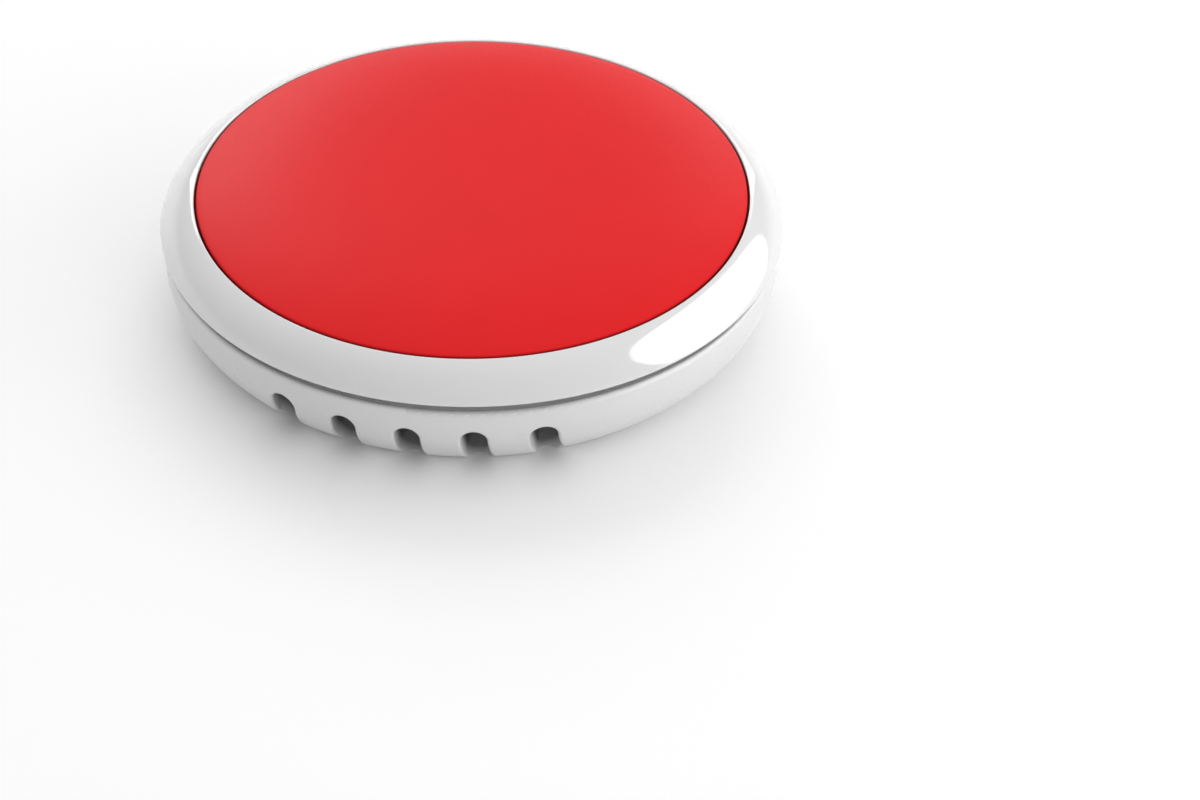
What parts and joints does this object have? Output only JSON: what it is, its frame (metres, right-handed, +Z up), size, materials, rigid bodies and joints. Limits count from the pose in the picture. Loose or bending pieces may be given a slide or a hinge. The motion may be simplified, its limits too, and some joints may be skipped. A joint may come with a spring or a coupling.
{
  "type": "wireless temperature sensor",
  "caption": "Small round wireless temperature sensor with a domed red push cap, a glossy white ring and a vented bowl that holds a coin cell.",
  "frame": {"origin": "middle of the flat underside", "axes": "+Z up through the red cap; -Y towards the middle of the five vents; +X to the right seen from the vents"},
  "size_m": [0.0338, 0.0338, 0.0079],
  "materials": {
    "satin_white": "satin moulded",
    "gloss_white": "polished moulded",
    "soft_red": "soft-touch satin",
    "frame_white": "fine moulded texture",
    "board_green": "solder mask",
    "screw_steel": "plated",
    "cell_steel": "spun",
    "gasket_black": "matt",
    "cathode_black": "pressed powder",
    "separator_white": "felted",
    "anode_grey": "soft metal",
    "contact_metal": "nickel plated",
    "switch_black": "matt",
    "plunger_white": "moulded",
    "chip_black": "moulded epoxy",
    "antenna_ceramic": "fired ceramic",
    "capacitor_tan": "fired ceramic",
    "inductor_grey": "ferrite"
  },
  "bodies": {
    "base": {"base_housing": "satin_white"},
    "cover": {"bezel_ring": "gloss_white", "inner_frame": "frame_white", "circuit_board": "board_green", "board_screws": "screw_steel", "cell_can": "cell_steel", "cell_gasket": "gasket_black", "cell_cap": "cell_steel", "cell_cathode": "cathode_black", "cell_separator": "separator_white", "cell_anode": "anode_grey", "positive_clip": "contact_metal", "negative_spring": "contact_metal", "switch_body": "switch_black", "switch_terminals": "contact_metal", "switch_dome": "contact_metal", "switch_cover": "screw_steel", "radio_chip": "chip_black", "main_crystal": "screw_steel", "clock_crystal": "screw_steel", "chip_antenna": "antenna_ceramic", "supply_capacitor": "capacitor_tan", "temperature_chip": "chip_black", "chip_capacitors": "capacitor_tan", "chip_resistors": "chip_black", "chip_inductors": "inductor_grey"},
    "cap": {"push_cap": "soft_red"},
    "switch_button": {"switch_plunger": "plunger_white"}
  },
  "joints": [
    {"name": "cover_lift", "type": "slide", "parent": "base", "child": "cover", "axis": [0, 0, 1], "range_m": [0, 0.02]},
    {"name": "cap_press", "type": "slide", "parent": "cover", "child": "cap", "axis": [0, 0, -1], "range_m": [0, 0.00025], "stiffness_N_per_m": 4000, "springref_m": -0.0001},
    {"name": "switch_press", "type": "slide", "parent": "cover", "child": "switch_button", "axis": [0, 0, -1], "range_m": [0, 0.00025], "deforming": ["switch_dome"]}
  ],
  "couplings": [
    {"joint": "switch_press", "follows": "cap_press", "ratio": 1}
  ]
}
